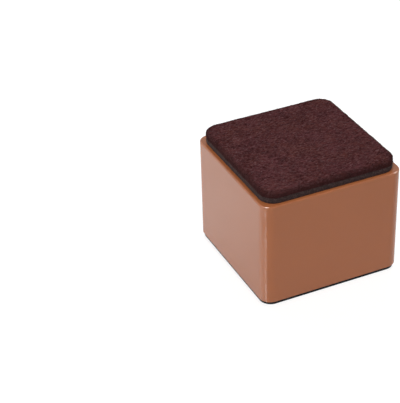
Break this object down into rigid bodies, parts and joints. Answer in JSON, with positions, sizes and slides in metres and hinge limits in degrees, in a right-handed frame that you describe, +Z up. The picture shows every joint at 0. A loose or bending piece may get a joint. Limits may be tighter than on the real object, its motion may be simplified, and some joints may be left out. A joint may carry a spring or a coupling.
{
  "type": "bed riser",
  "caption": "Square lacquered furniture riser: a softly rounded block with a felt-topped foam pad to carry a bed or table leg and a thin non-slip base pad.",
  "frame": {"origin": "middle of the base pad's underside, where the riser stands on the floor", "axes": "+Z up, the way the furniture leg is lifted; X and Y square to the block's sides"},
  "size_m": [0.06, 0.06, 0.05],
  "materials": {
    "lacquer": "smooth glossy brown lacquer",
    "base_rubber": "matt black, finely textured",
    "backing_foam": "matt black closed-cell foam, cut edge",
    "felt": "dark maroon felt, matted fibres"
  },
  "bodies": {
    "root": {"riser_block": "lacquer", "base_pad": "base_rubber", "pad_backing": "backing_foam", "felt_pad": "felt"}
  },
  "joints": []
}
